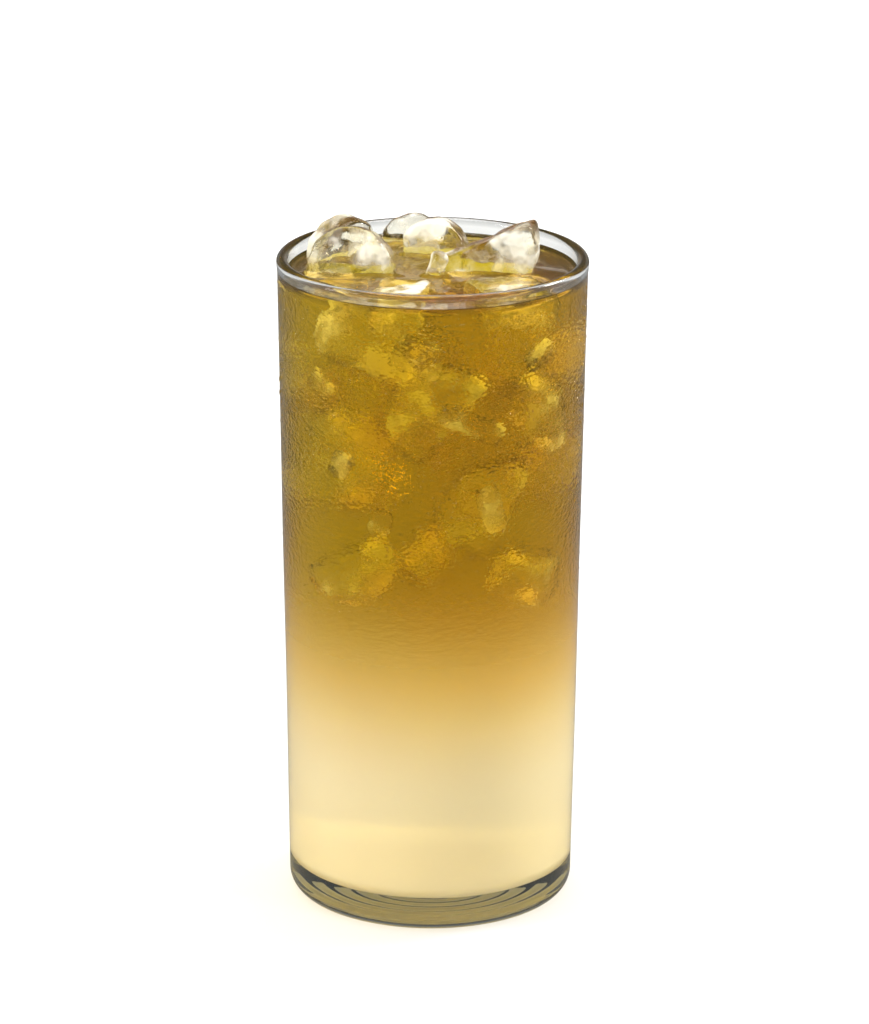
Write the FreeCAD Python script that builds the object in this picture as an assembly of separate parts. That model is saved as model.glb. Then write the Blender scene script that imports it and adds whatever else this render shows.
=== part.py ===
"""A tall straight-sided glass of iced lemonade under a layer of tea.

Millimetres, +Z up. The origin is on the glass's axis, at the plane that it stands on.
The glass is a turned shape with a thick base. The pale lemonade fills its lower part and the
tea lies on it, up to the surface. Half-moon and block pieces of ice float in the tea, which is
cut round them, and stand proud of its surface.
"""

import FreeCAD
import Part
import math
import os

# Glass
GLASS_HEIGHT = 165.0
RIM_DIAMETER = 77.0  # outside, across the lip
BASE_DIAMETER = 71.4  # outside, where the wall meets the heel
WALL = 2.4
LIP_PROUD = 0.25  # how far the fire-polished lip swells past each side of the wall
LIP_HEIGHT = 4.2
HEEL_RADIUS = 4.5  # the rounded edge under the wall
BASE_THICKNESS = 8.5  # from the table to the inside floor
FLOOR_FILLET = 3.0  # between the inside floor and the wall
FOOT_RING_WIDTH = 4.0  # flat ring that touches the table
PUNT_DEPTH = 1.2  # hollow under the base

# Drink
HEADSPACE = 4.6  # from the lip down to the drink's surface
LEMONADE_DEPTH = 64.0  # pale lower layer

# Ice. Pieces pack against each other and the wall, so their sizes and places are given in
# shares of the mouth's inner radius, and their heights from the drink's surface.
ICE_MELT = 0.05  # radius of the melted edges

# name: ((radius, thickness, depth of skirt), (x, y, height of the round part's centre),
# (roll, lean, yaw) in degrees)
HALF_MOONS = {
    "ice_left_front": ((0.31, 0.26, 0.16), (-0.56, 0.05, 0.00), (6, -14, -6)),
    "ice_left_back": ((0.25, 0.24, 0.16), (-0.63, 0.47, 0.03), (-8, 8, 38)),
    "ice_back": ((0.22, 0.14, 0.18), (-0.15, 0.86, -0.01), (8, 4, 4)),
    "ice_centre": ((0.23, 0.24, 0.16), (0.02, 0.54, 0.03), (4, -6, -14)),
    "ice_right": ((0.37, 0.30, 0.04), (0.37, 0.14, 0.17), (155, -4, -8)),
}
# name: ((length, depth, height), (x, y, height of the middle), (roll, lean, yaw) in degrees)
BLOCKS = {
    "ice_front_right": ((0.50, 0.40, 0.28), (0.50, -0.34, -0.10), (4, -5, 20)),
    "ice_front_middle": ((0.36, 0.42, 0.28), (-0.20, -0.40, -0.11), (-5, -4, -12)),
    "ice_tip": ((0.13, 0.13, 0.40), (0.00, -0.04, -0.03), (16, 8, 12)),
}

X, Y, Z = FreeCAD.Vector(1, 0, 0), FreeCAD.Vector(0, 1, 0), FreeCAD.Vector(0, 0, 1)
ORIGIN = FreeCAD.Vector(0, 0, 0)

RIM_RADIUS = RIM_DIAMETER / 2
BASE_RADIUS = BASE_DIAMETER / 2
LIP_RADIUS = (WALL + 2 * LIP_PROUD) / 2
SURFACE = GLASS_HEIGHT - HEADSPACE
BLEND_LINE = BASE_THICKNESS + LEMONADE_DEPTH


def outer_radius(height):
    """The wall's outside radius, which opens evenly from the heel to just under the lip."""
    top = RIM_RADIUS - LIP_PROUD
    share = (height - HEEL_RADIUS) / (GLASS_HEIGHT - LIP_HEIGHT - HEEL_RADIUS)
    return BASE_RADIUS + (top - BASE_RADIUS) * share


def inner_radius(height):
    return outer_radius(height) - WALL


MOUTH = inner_radius(SURFACE)


def point(radius, height):
    """A point of a turned outline, in the XZ plane."""
    return FreeCAD.Vector(radius, 0, height)


def line(start, end):
    return Part.LineSegment(point(*start), point(*end)).toShape()


def arc(start, middle, end):
    return Part.Arc(point(*start), point(*middle), point(*end)).toShape()


def quarter(centre, radius, start_angle, end_angle):
    """A round stretch of an outline, from one angle to another about its centre, in degrees."""

    def at(angle):
        turn = math.radians(angle)
        return centre[0] + radius * math.cos(turn), centre[1] + radius * math.sin(turn)

    return arc(at(start_angle), at((start_angle + end_angle) / 2), at(end_angle))


def turned(edges):
    """The solid that a closed outline in the XZ plane sweeps round the Z axis."""
    return Part.Face(Part.Wire(edges)).revolve(ORIGIN, Z, 360)


def floor_corner():
    """Centre of the fillet between the inside floor and the wall, touching both."""
    height = BASE_THICKNESS + FLOOR_FILLET
    return inner_radius(height) - FLOOR_FILLET, height


def make_glass():
    foot = BASE_RADIUS - HEEL_RADIUS
    punt = foot - FOOT_RING_WIDTH
    dome = (punt**2 + PUNT_DEPTH**2) / (2 * PUNT_DEPTH)  # radius of the hollow's ball shape
    lip_start = GLASS_HEIGHT - LIP_HEIGHT
    lip_middle = (RIM_RADIUS - LIP_RADIUS, GLASS_HEIGHT - LIP_RADIUS)
    corner = floor_corner()
    outline = [
        line((foot, 0), (punt, 0)),
        quarter((0, PUNT_DEPTH - dome), dome, math.degrees(math.acos(punt / dome)), 90),
        line((0, PUNT_DEPTH), (0, BASE_THICKNESS)),
        line((0, BASE_THICKNESS), (corner[0], BASE_THICKNESS)),
        quarter(corner, FLOOR_FILLET, -90, 0),
        line((inner_radius(corner[1]), corner[1]), (inner_radius(lip_start), lip_start)),
        line(
            (inner_radius(lip_start), lip_start),
            (lip_middle[0] - LIP_RADIUS, lip_middle[1]),
        ),
        quarter(lip_middle, LIP_RADIUS, 180, 0),
        line((RIM_RADIUS, lip_middle[1]), (outer_radius(lip_start), lip_start)),
        line((outer_radius(lip_start), lip_start), (BASE_RADIUS, HEEL_RADIUS)),
        quarter((foot, HEEL_RADIUS), HEEL_RADIUS, 0, -90),
    ]
    return turned(outline)


def make_lemonade():
    """The lower layer, which takes the shape of the inside floor and its fillet."""
    corner = floor_corner()
    outline = [
        line((0, BASE_THICKNESS), (corner[0], BASE_THICKNESS)),
        quarter(corner, FLOOR_FILLET, -90, 0),
        line((inner_radius(corner[1]), corner[1]), (inner_radius(BLEND_LINE), BLEND_LINE)),
        line((inner_radius(BLEND_LINE), BLEND_LINE), (0, BLEND_LINE)),
        line((0, BLEND_LINE), (0, BASE_THICKNESS)),
    ]
    return turned(outline)


def make_tea(ice):
    """The upper layer, from the lemonade to the surface, cut round every piece of ice."""
    outline = [
        line((0, BLEND_LINE), (inner_radius(BLEND_LINE), BLEND_LINE)),
        line((inner_radius(BLEND_LINE), BLEND_LINE), (MOUTH, SURFACE)),
        line((MOUTH, SURFACE), (0, SURFACE)),
        line((0, SURFACE), (0, BLEND_LINE)),
    ]
    return turned(outline).cut(ice)


def placed(solid, place, turns):
    """Turns a piece about its own middle and sets it down in the mouth, in shares of it."""
    roll, lean, yaw = turns
    solid.rotate(ORIGIN, Y, roll)
    solid.rotate(ORIGIN, X, lean)
    solid.rotate(ORIGIN, Z, yaw)
    solid.translate(FreeCAD.Vector(*place) * MOUTH + Z * SURFACE)
    return solid


def half_moon(size, place, turns):
    """A flat-faced piece with a half-round top over a straight skirt, and melted edges."""
    radius, thickness, skirt = [side * MOUTH for side in size]
    outline = [
        arc((radius, 0), (0, radius), (-radius, 0)),
        line((-radius, 0), (-radius, -skirt)),
        line((-radius, -skirt), (radius, -skirt)),
        line((radius, -skirt), (radius, 0)),
    ]
    moon = Part.Face(Part.Wire(outline)).extrude(Y * thickness)
    moon.translate(Y * -thickness / 2)

    def is_edge_of_top(edge):
        """Whether an edge is where the half-round top runs smoothly into the skirt."""
        middle = edge.CenterOfMass
        return abs(middle.y) < thickness / 4 and abs(middle.z) < skirt / 4

    melted = [edge for edge in moon.Edges if not is_edge_of_top(edge)]
    return placed(moon.makeFillet(ICE_MELT * MOUTH, melted), place, turns)


def block(size, place, turns):
    """A rectangular piece with melted edges."""
    length, depth, height = [side * MOUTH for side in size]
    corner = FreeCAD.Vector(-length, -depth, -height) / 2
    box = Part.makeBox(length, depth, height, corner)
    return placed(box.makeFillet(ICE_MELT * MOUTH, box.Edges), place, turns)


def make_ice():
    pieces = {name: half_moon(*given) for name, given in HALF_MOONS.items()}
    pieces.update({name: block(*given) for name, given in BLOCKS.items()})
    return pieces


def main():
    ice = make_ice()
    parts = {
        "glass": make_glass(),
        "lemonade": make_lemonade(),
        "tea": make_tea(list(ice.values())),
        **ice,
    }
    os.makedirs("parts", exist_ok=True)
    for name, shape in parts.items():
        shape.exportStep(f"parts/{name}.step")
        print(name, len(shape.Solids), shape.isValid(), round(shape.Volume))


main()
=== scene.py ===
"""A tall glass of iced lemonade under a layer of tea, beaded with condensation.

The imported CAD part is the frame: its nodes give the glass, the drink's levels and the floating
ice. This script turns them into a fire-polished glass, one drink that blends from pale lemonade
to amber tea, melted ice that floats or lies sunk in it, and the mist and beads of water outside.
"""

import math

import bmesh
import bpy
import numpy as np
from mathutils import Matrix, Vector, noise
from mathutils.bvhtree import BVHTree


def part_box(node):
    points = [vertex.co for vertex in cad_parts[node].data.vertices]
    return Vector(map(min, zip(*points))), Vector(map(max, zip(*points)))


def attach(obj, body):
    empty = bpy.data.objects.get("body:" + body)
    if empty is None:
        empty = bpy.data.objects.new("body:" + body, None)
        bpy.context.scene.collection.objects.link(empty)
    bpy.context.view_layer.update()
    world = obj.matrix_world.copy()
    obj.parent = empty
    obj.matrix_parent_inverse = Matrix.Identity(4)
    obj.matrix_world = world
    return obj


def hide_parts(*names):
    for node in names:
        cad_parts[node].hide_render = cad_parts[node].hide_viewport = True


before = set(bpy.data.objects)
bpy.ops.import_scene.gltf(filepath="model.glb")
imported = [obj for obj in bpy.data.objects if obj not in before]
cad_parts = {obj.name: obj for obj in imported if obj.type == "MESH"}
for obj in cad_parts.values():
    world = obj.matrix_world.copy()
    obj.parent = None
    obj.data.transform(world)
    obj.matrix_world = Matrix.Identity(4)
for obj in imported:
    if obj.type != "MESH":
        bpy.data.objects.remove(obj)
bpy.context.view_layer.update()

MM = 0.001

# Sizes read from the frame
GLASS_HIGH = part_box("glass")[1]
LEMONADE_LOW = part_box("lemonade")[0]
TEA_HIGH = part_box("tea")[1]
RIM_RADIUS = GLASS_HIGH[0]
GLASS_HEIGHT = GLASS_HIGH[2]
FLOOR = LEMONADE_LOW[2]  # inside floor
SURFACE = TEA_HIGH[2]  # the drink's level
FLOATING_ICE = sorted(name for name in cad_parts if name.startswith("ice_"))

# Sizes that the frame's boxes don't give
BASE_RADIUS = 35.7 * MM
WALL = 2.4 * MM
LIP_PROUD = 0.25 * MM
LIP_HEIGHT = 4.2 * MM
HEEL_RADIUS = 4.5 * MM
FLOOR_FILLET = 3.0 * MM
FOOT_RING = 4.0 * MM
PUNT_DEPTH = 1.2 * MM
BITE = 0.2 * MM  # how far the drink reaches into the wall

CAMERA_DISTANCE = 1.3
CAMERA_ELEVATION = 18.54  # degrees
CAMERA_PITCH = 17.86
CAMERA_ROLL = 0.258
LENS = 182.57

SWEEP_TOP, CEILING_LOW = 0.14, 0.26  # where the sweep ends and the ceiling starts, as sines
CEILING = 0.35  # brightness of the studio overhead, where the sweep is 1
MIRRORED = 0.35  # how bright the studio shows in reflections
FLOOR_GREY = 0.45  # the floor's own colour
FLOOR_MIRRORED = 0.17  # its colour in reflections, so that they don't wash out the drink
GLOW_NEAR, GLOW_FAR = 0.38, 0.85  # the rest of its white, by the glass and away from the lamps


# ---------------------------------------------------------------- meshes


def new_object(name, vertices, faces):
    mesh = bpy.data.meshes.new(name)
    mesh.from_pydata([tuple(v) for v in vertices], [], [tuple(f) for f in faces])
    mesh.validate()
    mesh.shade_smooth()
    piece = bpy.data.objects.new(name, mesh)
    bpy.context.collection.objects.link(piece)
    return piece


def coordinates(mesh):
    flat = np.empty(len(mesh.vertices) * 3)
    mesh.vertices.foreach_get("co", flat)
    return flat.reshape(-1, 3)


def set_coordinates(mesh, points):
    mesh.vertices.foreach_set("co", points.ravel())
    mesh.update()


def apply_modifiers(piece):
    graph = bpy.context.evaluated_depsgraph_get()
    mesh = bpy.data.meshes.new_from_object(piece.evaluated_get(graph))
    piece.modifiers.clear()
    old = piece.data
    piece.data = mesh
    bpy.data.meshes.remove(old)
    return piece


def lathe(name, outline, segments):
    """A closed turned mesh. The outline runs from the axis to the axis, bottom to top outside."""
    rings = outline[1:-1]
    angles = np.linspace(0, 2 * math.pi, segments, endpoint=False)
    points = [(r * math.cos(a), r * math.sin(a), z) for r, z in rings for a in angles]
    faces = []
    for ring in range(len(rings) - 1):
        low, high = ring * segments, (ring + 1) * segments
        for k in range(segments):
            n = (k + 1) % segments
            faces.append((low + k, low + n, high + n, high + k))
    bottom, top = len(points), len(points) + 1
    points += [(0, 0, outline[0][1]), (0, 0, outline[-1][1])]
    last = (len(rings) - 1) * segments
    for k in range(segments):
        n = (k + 1) % segments
        faces.append((bottom, n, k))
        faces.append((top, last + k, last + n))
    return new_object(name, points, faces)


def bow(centre, radius, start, end, steps):
    """Points along an arc of an outline, angles in degrees."""
    turns = np.radians(np.linspace(start, end, steps))
    return [(centre[0] + radius * math.cos(t), centre[1] + radius * math.sin(t)) for t in turns]


def run(start, end, steps):
    """Points along a straight stretch, without its ends."""
    shares = np.linspace(0, 1, steps + 2)[1:-1]
    return [tuple(np.add(start, np.subtract(end, start) * s)) for s in shares]


def outer_radius(z):
    share = (z - HEEL_RADIUS) / (GLASS_HEIGHT - LIP_HEIGHT - HEEL_RADIUS)
    return BASE_RADIUS + (RIM_RADIUS - LIP_PROUD - BASE_RADIUS) * share


def inner_radius(z):
    return outer_radius(z) - WALL


# ---------------------------------------------------------------- materials


def material(name):
    mat = bpy.data.materials.new(name)
    mat.use_nodes = True
    tree = mat.node_tree
    tree.nodes.clear()
    return mat, tree


def node(tree, kind, **settings):
    made = tree.nodes.new(kind)
    for key, value in settings.items():
        if hasattr(made, key):
            setattr(made, key, value)
        else:
            made.inputs[key.replace("_", " ")].default_value = value
    return made


def link(tree, source, target):
    tree.links.new(source, target)


def position(tree, scale=(1, 1, 1)):
    """The point's own place in the model, in metres, stretched by scale."""
    where = node(tree, "ShaderNodeTexCoord")
    stretch = node(tree, "ShaderNodeVectorMath", operation="MULTIPLY")
    stretch.inputs[1].default_value = scale
    link(tree, where.outputs["Object"], stretch.inputs[0])
    return stretch.outputs[0]


def noise_field(tree, scale, detail=3.0, stretch=(1, 1, 1), roughness=0.5):
    field = node(tree, "ShaderNodeTexNoise", Scale=scale, Detail=detail, Roughness=roughness)
    link(tree, position(tree, stretch), field.inputs["Vector"])
    return field.outputs["Fac"]


def height_share(tree, low, high):
    """0 at height low, 1 at height high."""
    split = node(tree, "ShaderNodeSeparateXYZ")
    link(tree, position(tree), split.inputs[0])
    share = node(tree, "ShaderNodeMapRange", interpolation_type="SMOOTHSTEP")
    share.inputs["From Min"].default_value = low
    share.inputs["From Max"].default_value = high
    link(tree, split.outputs["Z"], share.inputs["Value"])
    return share.outputs["Result"]


def painted_side_light_and_patches(tree):
    """Painted light: 0 on the left, 1 on the right, in drifting patches. The lean from side to side
    stands in for light falling differently on the two sides; the patches are uneven tone.
    """
    split = node(tree, "ShaderNodeSeparateXYZ")
    link(tree, position(tree), split.inputs[0])
    drift = node(tree, "ShaderNodeMath", operation="MULTIPLY_ADD")
    link(tree, noise_field(tree, 45.0, 1.0), drift.inputs[0])
    drift.inputs[1].default_value = 0.12
    link(tree, split.outputs["X"], drift.inputs[2])
    share = node(tree, "ShaderNodeMapRange")
    share.inputs["From Min"].default_value = 0.035
    share.inputs["From Max"].default_value = 0.085
    link(tree, drift.outputs[0], share.inputs["Value"])
    return share.outputs["Result"]


def ramp(tree, source, stops):
    """A colour ramp. Each stop is (place, colour)."""
    made = node(tree, "ShaderNodeValToRGB")
    band = made.color_ramp
    while len(band.elements) < len(stops):
        band.elements.new(0.5)
    for element, (place, colour) in zip(band.elements, stops):
        element.position = place
        element.color = (*colour, 1)
    link(tree, source, made.inputs["Fac"])
    return made.outputs["Color"]


def grey(value):
    return (value, value, value)


def finish_with(tree, shader, let_light_in=None):
    """Links the surface. let_light_in tints the light that lamps send straight through."""
    out = node(tree, "ShaderNodeOutputMaterial")
    if let_light_in is None:
        link(tree, shader, out.inputs["Surface"])
        return out
    path = node(tree, "ShaderNodeLightPath")
    clear = node(tree, "ShaderNodeBsdfTransparent", Color=(*let_light_in, 1))
    mix = node(tree, "ShaderNodeMixShader")
    link(tree, path.outputs["Is Shadow Ray"], mix.inputs[0])
    link(tree, shader, mix.inputs[1])
    link(tree, clear.outputs[0], mix.inputs[2])
    link(tree, mix.outputs[0], out.inputs["Surface"])
    return out


GLASS_ABSORBS = (15.0, 14.0, 14.0)  # per metre: clear across the wall, grey through the base


def absorbing(tree, out, per_metre):
    """Fills a closed piece with an even colour. per_metre is for red, green and blue."""
    most = max(per_metre)
    volume = node(tree, "ShaderNodeVolumeAbsorption", Density=most)
    volume.inputs["Color"].default_value = (*[1 - a / most for a in per_metre], 1)
    link(tree, volume.outputs[0], out.inputs["Volume"])


def zoned(tree, values):
    """One value for each zone of a piece, whose faces carry their zone's number."""
    zone = node(tree, "ShaderNodeAttribute", attribute_type="GEOMETRY", attribute_name="zone")
    share = node(tree, "ShaderNodeMapRange")
    share.inputs["From Max"].default_value = len(values)
    link(tree, zone.outputs["Fac"], share.inputs["Value"])
    stops = [(k / len(values), value) for k, value in enumerate(values)]
    made = ramp(tree, share.outputs["Result"], stops)
    made.node.color_ramp.interpolation = "CONSTANT"
    return made


def blended(tree, share, first, second):
    """first where share is 0, second where it is 1. Either may be a colour or a socket."""
    mix = node(tree, "ShaderNodeMix", data_type="RGBA")
    link(tree, share, mix.inputs["Factor"])
    for value, socket in ((first, mix.inputs[6]), (second, mix.inputs[7])):
        if isinstance(value, tuple):
            socket.default_value = (*value, 1)
        else:
            link(tree, value, socket)
    return mix.outputs[2]


GLASS_DRY, GLASS_WETTED = 1, 2  # the zones inside the glass; its outside is 0
DRINK_HOLLOW, DRINK_SURFACE = 1, 2  # where the drink meets ice and air; its wall is 0
MIST_LOW, MIST_HIGH = 0.040, 0.115  # heights between which the mist on the glass thickens
LIP_CLEAR_LOW, LIP_CLEAR_HIGH = 0.157, 0.161  # and between which it ends, under the lip


def glass_material():
    mat, tree = material("clear_glass")
    shader = node(tree, "ShaderNodeBsdfPrincipled", IOR=1.5, Transmission_Weight=1.0)
    shades = [(0, (0.97, 0.985, 0.96)), (1, (0.985, 0.995, 0.98))]
    tint = ramp(tree, noise_field(tree, 45.0), shades)
    link(tree, tint, shader.inputs["Base Color"])
    # Where the drink wets the glass, the two hardly reflect
    gloss = zoned(tree, [grey(0.3), grey(1.0), grey(0.0)])
    link(tree, gloss, shader.inputs["Specular Tint"])
    # Condensation: fine mist outside, strong near the rim, fading out down the glass
    outside = zoned(tree, [grey(1.0), grey(0.0), grey(0.0)])
    wet = node(tree, "ShaderNodeMath", operation="MULTIPLY")
    link(tree, height_share(tree, MIST_LOW, MIST_HIGH), wet.inputs[0])
    below_lip = height_share(tree, LIP_CLEAR_LOW, LIP_CLEAR_HIGH)
    lip = ramp(tree, below_lip, [(0, grey(1.0)), (1, grey(0.0))])
    dry_lip = node(tree, "ShaderNodeMath", operation="MULTIPLY")
    link(tree, outside, dry_lip.inputs[0])
    link(tree, lip, dry_lip.inputs[1])
    link(tree, dry_lip.outputs[0], wet.inputs[1])
    rough = ramp(tree, wet.outputs[0], [(0, grey(0.015)), (1, grey(0.08))])
    link(tree, rough, shader.inputs["Roughness"])
    beads = node(tree, "ShaderNodeTexVoronoi", Scale=900.0, feature="SMOOTH_F1")
    link(tree, position(tree, (1, 1, 1.5)), beads.inputs["Vector"])
    both = node(tree, "ShaderNodeMath", operation="ADD")
    link(tree, beads.outputs["Distance"], both.inputs[0])
    link(tree, noise_field(tree, 500.0, 2.0, (1, 1, 1.6)), both.inputs[1])
    masked = node(tree, "ShaderNodeMath", operation="MULTIPLY")
    link(tree, both.outputs[0], masked.inputs[0])
    link(tree, wet.outputs[0], masked.inputs[1])
    bump = node(tree, "ShaderNodeBump", Strength=0.55, Distance=0.0004)
    link(tree, masked.outputs[0], bump.inputs["Height"])
    link(tree, bump.outputs[0], shader.inputs["Normal"])
    out = finish_with(tree, shader.outputs[0], (0.96, 0.98, 0.95))
    absorbing(tree, out, GLASS_ABSORBS)
    return mat


TEA_ABSORBS = (7.0, 15.0, 105.0)  # per metre, for red, green and blue
PAINTED_LIGHT_OLIVE_ABSORBS = (8.0, 11.5, 90.0)  # paler, greener tea: painted light to the left, and uneven tone in patches
LEMONADE_ABSORBS = (0.5, 2.0, 9.0)
BLEND_LOW, BLEND_HIGH = 0.033, 0.097  # heights between which the lemonade turns to tea
WALL_ROUGHNESS = 0.09  # softens what is seen inside the drink; even, or a line shows


def drink_material():
    """Clear amber tea above, cloudy pale lemonade below, and clear where it meets the ice."""
    mat, tree = material("drink")
    shader = node(tree, "ShaderNodeBsdfPrincipled", IOR=1.33)
    share = height_share(tree, BLEND_LOW, BLEND_HIGH)
    hollow = zoned(tree, [grey(0.0), grey(1.0), grey(0.0)])
    gloss = zoned(tree, [grey(0.0), grey(0.2), grey(1.0)])
    link(tree, gloss, shader.inputs["Specular Tint"])
    shades = [(0, (1.0, 0.91, 0.66)), (0.5, (0.94, 0.71, 0.32)), (1, (0.72, 0.55, 0.15))]
    tint = ramp(tree, share, shades)
    link(tree, blended(tree, hollow, tint, (1, 1, 1)), shader.inputs["Base Color"])
    clear = ramp(tree, share, [(0, grey(0.35)), (0.6, grey(0.7)), (1, grey(0.97))])
    link(tree, blended(tree, hollow, clear, (1, 1, 1)), shader.inputs["Transmission Weight"])
    smooth = zoned(tree, [grey(WALL_ROUGHNESS), grey(0.02), grey(0.02)])
    link(tree, smooth, shader.inputs["Roughness"])
    out = finish_with(tree, shader.outputs[0], (0.85, 0.72, 0.40))
    most = max(TEA_ABSORBS)
    volume = node(tree, "ShaderNodeVolumeAbsorption", Density=most)
    low = tuple(1 - a / most for a in LEMONADE_ABSORBS)
    painted_light_olive = tuple(1 - a / most for a in PAINTED_LIGHT_OLIVE_ABSORBS)
    amber = tuple(1 - a / most for a in TEA_ABSORBS)
    # Painted light: the tea turns paler and greener to the left and deeper amber to the right
    tea = blended(tree, painted_side_light_and_patches(tree), painted_light_olive, amber)
    link(tree, blended(tree, share, low, tea), volume.inputs["Color"])
    link(tree, volume.outputs[0], out.inputs["Volume"])
    return mat


def ice_material():
    mat, tree = material("ice")
    shader = node(tree, "ShaderNodeBsdfPrincipled", IOR=1.27)
    milky = noise_field(tree, 110.0, 3.0)
    clear = ramp(tree, milky, [(0.48, grey(1.0)), (0.55, grey(0.85)), (0.64, grey(0.3))])
    link(tree, clear, shader.inputs["Transmission Weight"])
    tint = ramp(tree, milky, [(0.3, (1.0, 0.98, 0.90)), (0.7, (1.0, 0.97, 0.84))])
    link(tree, tint, shader.inputs["Base Color"])
    rough = ramp(tree, noise_field(tree, 60.0), [(0.4, grey(0.02)), (0.7, grey(0.14))])
    link(tree, rough, shader.inputs["Roughness"])
    bump = node(tree, "ShaderNodeBump", Strength=0.55, Distance=0.0009)
    link(tree, noise_field(tree, 220.0, 4.0), bump.inputs["Height"])
    link(tree, bump.outputs[0], shader.inputs["Normal"])
    finish_with(tree, shader.outputs[0], (0.96, 0.96, 0.93))
    return mat


def water_material():
    mat, tree = material("water_beads")
    shader = node(tree, "ShaderNodeBsdfPrincipled", IOR=1.33, Transmission_Weight=1.0)
    shader.inputs["Roughness"].default_value = 0.0
    tint = ramp(tree, noise_field(tree, 300.0), [(0, (0.97, 0.98, 0.98)), (1, (1, 1, 1))])
    link(tree, tint, shader.inputs["Base Color"])
    finish_with(tree, shader.outputs[0], (0.98, 0.98, 0.98))
    return mat


# ---------------------------------------------------------------- glass


def make_glass():
    foot = BASE_RADIUS - HEEL_RADIUS
    punt = foot - FOOT_RING
    lip = (WALL + 2 * LIP_PROUD) / 2
    lip_centre = (RIM_RADIUS - lip, GLASS_HEIGHT - lip)
    neck = GLASS_HEIGHT - LIP_HEIGHT
    corner = (inner_radius(FLOOR + FLOOR_FILLET) - FLOOR_FILLET, FLOOR + FLOOR_FILLET)
    rings, step = 0.4 * MM, 0.35 * MM  # the mould's own rings in the hollow underside
    dome = [(punt * s, PUNT_DEPTH * (1 - s**2) + rings * math.sin(22 * s) ** 2 * s + step * (s < 1))
            for s in np.linspace(0, 1, 46)]
    outline = dome + run((punt, 0), (foot, 0), 3)
    outline += bow((foot, HEEL_RADIUS), HEEL_RADIUS, -90, 0, 14)
    outline += run(outline[-1], (outer_radius(neck), neck), 40)
    outline += [(outer_radius(neck), neck)]
    outline += run(outline[-1], (RIM_RADIUS, lip_centre[1]), 3)
    outline += bow(lip_centre, lip, 0, 180, 15)
    outline += run(outline[-1], (inner_radius(neck), neck), 3)
    outline += [(inner_radius(neck), neck)]
    outline += run(outline[-1], (inner_radius(corner[1]), corner[1]), 40)
    outline += bow(corner, FLOOR_FILLET, 0, -90, 10)
    outline += run(outline[-1], (0, FLOOR), 12) + [(0, FLOOR)]
    piece = lathe("glass_shell", outline, 192)
    # Pressed glass is never quite round: a slow wave in the wall bends what is seen through it
    points = coordinates(piece.data)
    angle = np.arctan2(points[:, 1], points[:, 0])
    wave = 0.0012 * np.sin(3 * angle + points[:, 2] * 40)
    wave += 0.0008 * np.sin(7 * angle - points[:, 2] * 90)
    points[:, :2] *= (1 - 0.001 + wave)[:, None]
    set_coordinates(piece.data, points)
    for face in piece.data.polygons:
        r, z = math.hypot(*face.center[:2]), face.center[2]
        if z > FLOOR - BITE and r < outer_radius(z) - WALL / 2:
            face.material_index = GLASS_WETTED if z < SURFACE else GLASS_DRY
    zones_from_slots(piece, glass_material())
    return piece


def zones_from_slots(piece, mat):
    """Turns the faces' slot numbers into their zone attribute, and gives the piece one material.

    A closed piece that holds a colour needs one material all over, or the colour leaks out.
    """
    slots = np.empty(len(piece.data.polygons), dtype=np.int32)
    piece.data.polygons.foreach_get("material_index", slots)
    zone = piece.data.attributes.new("zone", "FLOAT", "FACE")
    zone.data.foreach_set("value", slots.astype(float) + 0.5)
    piece.data.polygons.foreach_set("material_index", np.zeros(len(slots), dtype=np.int32))
    piece.data.materials.clear()
    piece.data.materials.append(mat)


# ---------------------------------------------------------------- ice


def rounded_solid(outline, thickness, melt):
    """An outline in XZ, made thick along Y, with melted edges."""
    count = len(outline)
    points = [(x, y, z) for y in (-thickness / 2, thickness / 2) for x, z in outline]
    faces = [tuple(range(count)), tuple(reversed(range(count, 2 * count)))]
    faces += [(k, k + count, (k + 1) % count + count, (k + 1) % count) for k in range(count)]
    piece = new_object("ice_blank", points, faces)
    bevel = piece.modifiers.new("melt", "BEVEL")
    bevel.width, bevel.segments, bevel.limit_method = melt, 3, "ANGLE"
    return apply_modifiers(piece)


def half_moon(radius, thickness, skirt, melt=1.6 * MM):
    outline = [(radius * math.cos(t), radius * math.sin(t)) for t in np.linspace(0, math.pi, 22)]
    outline += [(-radius, -skirt), (radius, -skirt)]
    return rounded_solid(outline, thickness, melt)


def block(length, thickness, height, melt=1.8 * MM):
    x, z = length / 2, height / 2
    return rounded_solid([(x, z), (-x, z), (-x, -z), (x, -z)], thickness, melt)


def melted(piece, name, grain=0.55 * MM, relief=0.35 * MM, seed=0.0):
    """Turns a clean blank into melted ice: even grid, softened, with slow dents and ridges."""
    remesh = piece.modifiers.new("grain", "REMESH")
    remesh.mode, remesh.voxel_size, remesh.use_smooth_shade = "VOXEL", grain, True
    smooth = piece.modifiers.new("soften", "SMOOTH")
    smooth.factor, smooth.iterations = 0.5, 6
    apply_modifiers(piece)
    mesh = piece.data
    points = coordinates(mesh)
    normals = np.empty(len(mesh.vertices) * 3)
    mesh.vertices.foreach_get("normal", normals)
    normals = normals.reshape(-1, 3)
    shift = Vector((seed, seed * 1.7, -seed))

    def dent(spot):
        return noise.noise(spot * 140 + shift) + 0.5 * noise.noise(spot * 330 + shift)

    moves = np.array([dent(Vector(p)) for p in points])
    points += normals * ((moves - 0.35) * relief)[:, None]
    set_coordinates(mesh, points)
    mesh.shade_smooth()
    piece.name = mesh.name = name
    return piece


def floating_ice(name, seed):
    """The CAD's own ice, melted."""
    blank = bpy.data.objects.new(name + "_blank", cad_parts[name].data.copy())
    bpy.context.collection.objects.link(blank)
    blank.data.materials.clear()
    return melted(blank, name + "_melted", relief=0.7 * MM, seed=seed)


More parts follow.
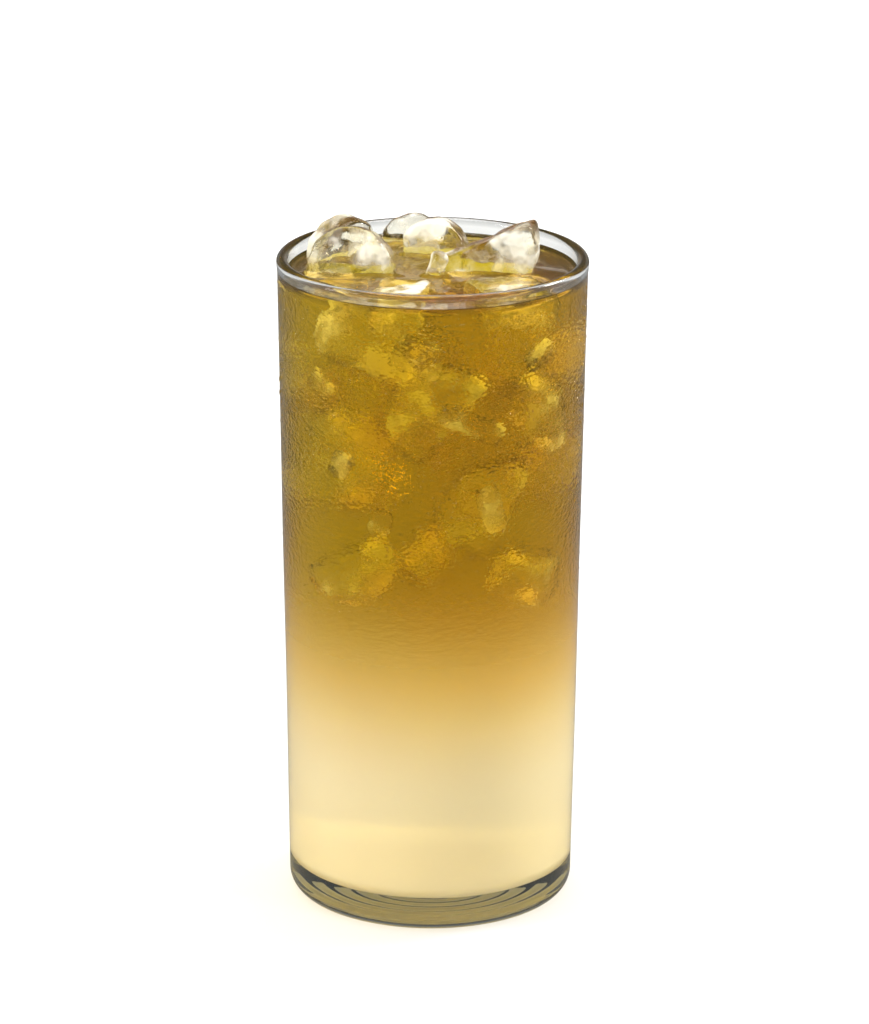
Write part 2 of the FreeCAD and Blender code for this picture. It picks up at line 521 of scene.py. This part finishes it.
def place(piece, where, turns):
    """Sets a piece down. where is in millimetres; turns are (roll, lean, yaw) in degrees."""
    roll, lean, yaw = [math.radians(t) for t in turns]
    spin = Matrix.Rotation(yaw, 4, "Z") @ Matrix.Rotation(lean, 4, "X")
    spin = spin @ Matrix.Rotation(roll, 4, "Y")
    piece.data.transform(Matrix.Translation(Vector(where) * MM) @ spin)
    return piece


# (radius, thickness, skirt), (x, y, z), (roll, lean, yaw): millimetres and degrees
SUNK_MOONS = [
    ((13, 9, 3), (-17, -22, 146), (25, -8, 20)),
    ((13, 9, 3), (3, -22, 131), (-52, -4, -6)),
    ((12, 9, 3), (22, -14, 128), (30, 10, -30)),
    ((13, 9, 3), (-20, -12, 118), (70, -6, 30)),
    ((12, 8, 3), (12, 2, 141), (100, 12, 20)),
    ((13, 9, 3), (-6, 8, 136), (10, 30, 60)),
    ((12, 9, 3), (20, 14, 132), (-30, 6, 40)),
    ((13, 9, 3), (14, -15, 106), (-70, 8, 14)),
    ((12, 9, 3), (-14, 8, 104), (-20, 10, -30)),
    ((11, 8, 3), (-18, -16, 92), (150, 4, 12)),
]
SUNK_BLOCKS = [
    ((20, 12, 14), (-22, 14, 132), (20, 10, 50)),
    ((18, 12, 13), (22, 8, 112), (-24, 8, 10)),
    ((16, 11, 12), (0, 18, 118), (36, 4, 24)),
    ((15, 10, 12), (20, -12, 88), (16, 10, -22)),
    ((14, 10, 11), (0, -6, 92), (-38, 8, 30)),
]


def held_in(piece, clearance=0.8 * MM, give=4.0 * MM):
    """Presses a piece in from the wall, more the nearer it would come, and never flat."""
    points = coordinates(piece.data)
    r = np.hypot(points[:, 0], points[:, 1])
    knee = inner_radius(points[:, 2]) - clearance - give
    over = np.maximum(r - knee, 0)
    pressed = np.minimum(r, knee) + give * (1 - np.exp(-over / give))
    points[:, :2] *= (pressed / np.maximum(r, MM))[:, None]
    set_coordinates(piece.data, points)
    return piece


SUNK_SHARDS = [
    ((13, 3.5, 9), (-3, -31, 148), (24, 8, -4)),
    ((17, 3.5, 6), (9, -29.5, 131), (28, 8, 16)),
    ((6, 3.5, 13), (14, -28.5, 109), (-18, 8, 27)),
    ((6, 3.5, 8), (-21, -24, 119), (30, 8, -41)),
    ((6, 3.5, 7), (-12, -29.5, 106), (14, 8, -22)),
    ((9, 3.5, 6), (24, -20, 146), (-24, 8, 50)),
    ((8, 3.5, 6), (-25, -19, 138), (40, 8, -53)),
]


def sunk_ice():
    pieces = []
    for number, (size, where, turns) in enumerate(SUNK_SHARDS):
        blank = block(*[s * MM for s in size], melt=0.8 * MM)
        pieces.append((blank, f"ice_sunk_shard_{number}", where, turns))
    for number, (size, where, turns) in enumerate(SUNK_MOONS):
        blank = half_moon(*[s * MM for s in size])
        pieces.append((blank, f"ice_sunk_moon_{number}", where, turns))
    for number, (size, where, turns) in enumerate(SUNK_BLOCKS):
        blank = block(*[s * MM for s in size])
        pieces.append((blank, f"ice_sunk_block_{number}", where, turns))
    return [held_in(place(melted(blank, name, grain=0.75 * MM, seed=3.0 + k), where, turns))
            for k, (blank, name, where, turns) in enumerate(pieces)]


# ---------------------------------------------------------------- drink


def make_drink(ice):
    corner = (inner_radius(FLOOR + FLOOR_FILLET) - FLOOR_FILLET, FLOOR + FLOOR_FILLET)
    bottom = FLOOR - BITE
    outline = [(0, bottom)] + run((0, bottom), (corner[0], bottom), 14)
    outline += bow(corner, FLOOR_FILLET + BITE, -90, 0, 10)
    climb = 1.1 * MM  # the meniscus
    top = (inner_radius(SURFACE) + BITE, SURFACE + climb)
    outline += run(outline[-1], top, 60) + [top]
    reach = 3.0 * MM
    for share in np.linspace(0, 1, 9)[1:]:
        outline.append((top[0] - reach * share, SURFACE + climb * (1 - share) ** 3))
    outline += run(outline[-1], (0, SURFACE), 40) + [(0, SURFACE)]
    piece = lathe("drink_body", outline, 160)
    for face in piece.data.polygons:
        if face.center[2] > SURFACE - BITE and math.hypot(*face.center[:2]) < inner_radius(SURFACE):
            face.material_index = DRINK_SURFACE

    # The surface climbs each piece of ice a little, and isn't quite level between them
    chunks = joined_copy(ice)
    corners, sides = [v.co for v in chunks.vertices], [tuple(f.vertices) for f in chunks.polygons]
    tree = BVHTree.FromPolygons(corners, sides)
    bpy.data.meshes.remove(chunks)
    points = coordinates(piece.data)
    rest = SURFACE - 0.3 * MM
    inside = inner_radius(SURFACE) - reach
    for k in np.nonzero((points[:, 2] > rest) & (np.hypot(points[:, 0], points[:, 1]) < inside))[0]:
        spot = Vector(points[k])
        hit = tree.find_nearest(spot)
        near = math.exp(-hit[3] / (0.9 * MM)) if hit[0] else 0.0
        slow = noise.noise(spot * 90) * 0.25 * MM
        points[k, 2] += 0.7 * MM * near + slow
    set_coordinates(piece.data, points)
    return piece


def joined_copy(pieces, shrink=0.0):
    """One mesh of copies of the pieces, each drawn in along its normals by shrink."""
    bm = bmesh.new()
    for piece in pieces:
        mesh = piece.data.copy()
        if shrink:
            points = coordinates(mesh)
            normals = np.empty(len(mesh.vertices) * 3)
            mesh.vertices.foreach_get("normal", normals)
            set_coordinates(mesh, points - normals.reshape(-1, 3) * shrink)
        bm.from_mesh(mesh)
        bpy.data.meshes.remove(mesh)
    mesh = bpy.data.meshes.new("ice_copy")
    bm.to_mesh(mesh)
    bm.free()
    return mesh


def carve(drink, ice):
    """Cuts the ice out of the drink, a hair smaller than the ice, so that the two overlap."""
    cutter = bpy.data.objects.new("cutter", joined_copy(ice, 0.08 * MM))
    bpy.context.collection.objects.link(cutter)
    for slot in ("wall", "hollow", "surface"):  # stand-ins, whose numbers become the zones
        stand_in = bpy.data.materials.new(slot)
        for carver in (cutter, drink):
            carver.data.materials.append(stand_in)
    cutter.data.polygons.foreach_set("material_index", [DRINK_HOLLOW] * len(cutter.data.polygons))
    cut = drink.modifiers.new("carve", "BOOLEAN")
    cut.operation, cut.object, cut.solver = "DIFFERENCE", cutter, "MANIFOLD"
    apply_modifiers(drink)
    bpy.data.objects.remove(cutter)
    zones_from_slots(drink, drink_material())
    drink.data.shade_smooth()
    return drink


# ---------------------------------------------------------------- water beads


def bead(radius, flat, sides=9, rings=3):
    """A low dome that stands on z = 0, open below: its rim lies inside the glass."""
    points, faces = [], []
    for ring in range(rings):
        up = math.radians(90 * ring / rings)
        r, z = radius * math.cos(up), radius * flat * math.sin(up)
        turns = np.linspace(0, 2 * math.pi, sides, endpoint=False)
        points += [(r * math.cos(a), r * math.sin(a), z) for a in turns]
    top = len(points)
    points.append((0, 0, radius * flat))
    for ring in range(rings - 1):
        for k in range(sides):
            n = (k + 1) % sides
            low, high = ring * sides, (ring + 1) * sides
            faces.append((low + k, low + n, high + n, high + k))
    last = (rings - 1) * sides
    faces += [(last + k, last + (k + 1) % sides, top) for k in range(sides)]
    return points, faces


# name, count, (smallest, largest) radius, lowest height, middle and spread of the angles, seed.
# Millimetres and degrees. They lie thickest on the warm right-hand side.
BEADS = [
    ("beads_fine", 3200, (0.12, 0.36), 80, 0, 180, 11),
    ("beads_right", 1500, (0.12, 0.42), 92, -38, 30, 12),
    ("beads_back", 500, (0.2, 0.6), 85, 150, 40, 13),
]


def make_beads(name, count, radii, low, centre, spread, seed):
    rng = np.random.default_rng(seed)
    high = GLASS_HEIGHT - LIP_HEIGHT - 1.5 * MM
    points, faces = [], []
    for _ in range(count):
        z = low + (high - low) * rng.random() ** 0.7
        angle = math.radians(centre + spread * (2 * rng.random() - 1))
        radius = radii[0] * (radii[1] / radii[0]) ** (rng.random() ** 2)
        tall = 1.0 + 0.6 * rng.random() ** 2
        base = outer_radius(z) * 0.9985 - 0.05 * MM
        out = Matrix.Rotation(angle, 4, "Z") @ Matrix.Translation((base, 0, z))
        out = out @ Matrix.Rotation(math.pi / 2, 4, "Y")
        dome, quads = bead(radius, 0.45)
        start = len(points)
        points += [out @ Vector((x * tall, y, h)) for x, y, h in dome]
        faces += [tuple(start + k for k in face) for face in quads]
    piece = new_object(name, points, faces)
    piece.data.materials.append(WATER)
    return piece


# ---------------------------------------------------------------- stage


def make_stage():
    """A pale floor that is white to the camera and through glass, and dimmer in reflections."""
    corners = [(-6, -6, 0), (6, -6, 0), (6, 6, 0), (-6, 6, 0)]
    floor = new_object("stage_floor", corners, [(0, 1, 2, 3)])
    mat, tree = material("stage")
    matte = node(tree, "ShaderNodeBsdfDiffuse")
    path = node(tree, "ShaderNodeLightPath")
    shade = blended(tree, path.outputs["Is Glossy Ray"], grey(FLOOR_GREY), grey(FLOOR_MIRRORED))
    link(tree, shade, matte.inputs["Color"])
    glow = node(tree, "ShaderNodeEmission", Color=(1, 1, 1, 1))
    strength = node(tree, "ShaderNodeMath", operation="MULTIPLY")
    link(tree, seen_directly(tree, glossy=False), strength.inputs[0])
    distance = node(tree, "ShaderNodeVectorMath", operation="LENGTH")
    link(tree, position(tree), distance.inputs[0])
    fade = node(tree, "ShaderNodeMapRange")
    fade.inputs["From Min"].default_value, fade.inputs["From Max"].default_value = 0.12, 0.9
    fade.inputs["To Min"].default_value, fade.inputs["To Max"].default_value = GLOW_NEAR, GLOW_FAR
    link(tree, distance.outputs["Value"], fade.inputs["Value"])
    link(tree, fade.outputs["Result"], strength.inputs[1])
    link(tree, strength.outputs[0], glow.inputs["Strength"])
    add = node(tree, "ShaderNodeAddShader")
    link(tree, matte.outputs[0], add.inputs[0])
    link(tree, glow.outputs[0], add.inputs[1])
    finish_with(tree, add.outputs[0])
    floor.data.materials.append(mat)


def seen_directly(tree, glossy=True):
    """1 for rays that show the background: to the camera, through glass, and in reflections."""
    path = node(tree, "ShaderNodeLightPath")
    names = ["Is Camera Ray", "Is Transmission Ray"] + (["Is Glossy Ray"] if glossy else [])
    total = path.outputs[names[0]]
    for name in names[1:]:
        most = node(tree, "ShaderNodeMath", operation="MAXIMUM")
        link(tree, total, most.inputs[0])
        link(tree, path.outputs[name], most.inputs[1])
        total = most.outputs[0]
    return total


def make_world():
    """A white sweep up to a little above the horizon, under a darker studio ceiling."""
    world = bpy.data.worlds.new("studio")
    bpy.context.scene.world = world
    world.use_nodes = True
    tree = world.node_tree
    tree.nodes.clear()
    where = node(tree, "ShaderNodeTexCoord")
    split = node(tree, "ShaderNodeSeparateXYZ")
    link(tree, where.outputs["Generated"], split.inputs[0])
    bands = [(0.0, grey(1.0)), (SWEEP_TOP, grey(1.0)), (CEILING_LOW, grey(CEILING))]
    sweep = ramp(tree, split.outputs["Z"], bands)
    path = node(tree, "ShaderNodeLightPath")
    studio = node(tree, "ShaderNodeBackground", Strength=1.0)
    link(tree, sweep, studio.inputs["Color"])
    dim = node(tree, "ShaderNodeMapRange")
    dim.inputs["To Min"].default_value, dim.inputs["To Max"].default_value = 1.0, MIRRORED
    link(tree, path.outputs["Is Glossy Ray"], dim.inputs["Value"])
    link(tree, dim.outputs["Result"], studio.inputs["Strength"])
    fill = node(tree, "ShaderNodeBackground", Color=(1, 1, 1, 1), Strength=0.75)
    white = node(tree, "ShaderNodeBackground", Color=(1, 1, 1, 1), Strength=1.0)
    mix = node(tree, "ShaderNodeMixShader")
    link(tree, seen_directly(tree), mix.inputs[0])
    link(tree, fill.outputs[0], mix.inputs[1])
    link(tree, studio.outputs[0], mix.inputs[2])
    camera = node(tree, "ShaderNodeMixShader")
    link(tree, path.outputs["Is Camera Ray"], camera.inputs[0])
    link(tree, mix.outputs[0], camera.inputs[1])
    link(tree, white.outputs[0], camera.inputs[2])
    out = node(tree, "ShaderNodeOutputWorld")
    link(tree, camera.outputs[0], out.inputs["Surface"])


def lamp(name, where, size, power, colour=(1, 1, 1), target=(0, 0, 0.09)):
    data = bpy.data.lights.new(name, "AREA")
    data.shape, data.size, data.size_y, data.energy = "RECTANGLE", size[0], size[1], power
    data.color = colour
    made = bpy.data.objects.new(name, data)
    made.location = where
    made.rotation_euler = (Vector(target) - Vector(where)).to_track_quat("-Z", "Y").to_euler()
    bpy.context.collection.objects.link(made)
    return made


def make_lights():
    lamp("key_right", (0.75, 0.35, 0.75), (0.3, 0.3), 7.5, (1.0, 0.97, 0.93))
    lamp("key_left", (-0.8, -0.2, 0.6), (0.35, 0.6), 6, (1.0, 0.99, 0.97))
    lamp("top", (0.0, 0.2, 1.0), (0.6, 0.6), 4.5)
    lamp("glint", (0.85, -0.55, 0.7), (0.1, 0.1), 2.5)
    lamp("front", (0.15, -1.1, 0.45), (0.7, 0.5), 3.2)


def make_camera():
    data = bpy.data.cameras.new("camera")
    data.lens, data.sensor_width, data.sensor_fit = LENS, 36, "AUTO"
    data.clip_start, data.clip_end = 0.05, 50
    made = bpy.data.objects.new("camera", data)
    up = math.radians(CAMERA_ELEVATION)
    back, rise = CAMERA_DISTANCE * math.cos(up), CAMERA_DISTANCE * math.sin(up)
    tilt = Matrix.Rotation(math.radians(90 - CAMERA_PITCH), 4, "X")
    roll = Matrix.Rotation(math.radians(CAMERA_ROLL), 4, "Z")
    made.matrix_world = Matrix.Translation((0.0007, -back, GLASS_HEIGHT / 2 + rise)) @ tilt @ roll
    bpy.context.collection.objects.link(made)
    bpy.context.scene.camera = made


# ---------------------------------------------------------------- the whole


make_camera()
make_lights()
make_world()
make_stage()

ICE, WATER = ice_material(), water_material()
glass = make_glass()
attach(glass, "root")
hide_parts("glass")

ice = []
for count, ice_name in enumerate(FLOATING_ICE):
    chunk = floating_ice(ice_name, float(count))
    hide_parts(ice_name)
    ice.append(chunk)
ice += sunk_ice()
drink = carve(make_drink(ice), ice)
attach(drink, "root")
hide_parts("lemonade", "tea")
for chunk in ice:
    chunk.data.materials.clear()
    chunk.data.materials.append(ICE)
    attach(chunk, "root")

for name, count, radii, low, centre, spread, seed in BEADS:
    beads = make_beads(name, count, [r * MM for r in radii], low * MM, centre, spread, seed)
    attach(beads, "root")

scene = bpy.context.scene
scene.view_settings.view_transform = "Standard"
scene.cycles.max_bounces = 15
scene.cycles.transmission_bounces = 15
scene.cycles.use_light_tree = False
scene.cycles.volume_step_rate = 3.0
scene.cycles.glossy_bounces = 8
scene.cycles.diffuse_bounces = 3
scene.cycles.transparent_max_bounces = 32
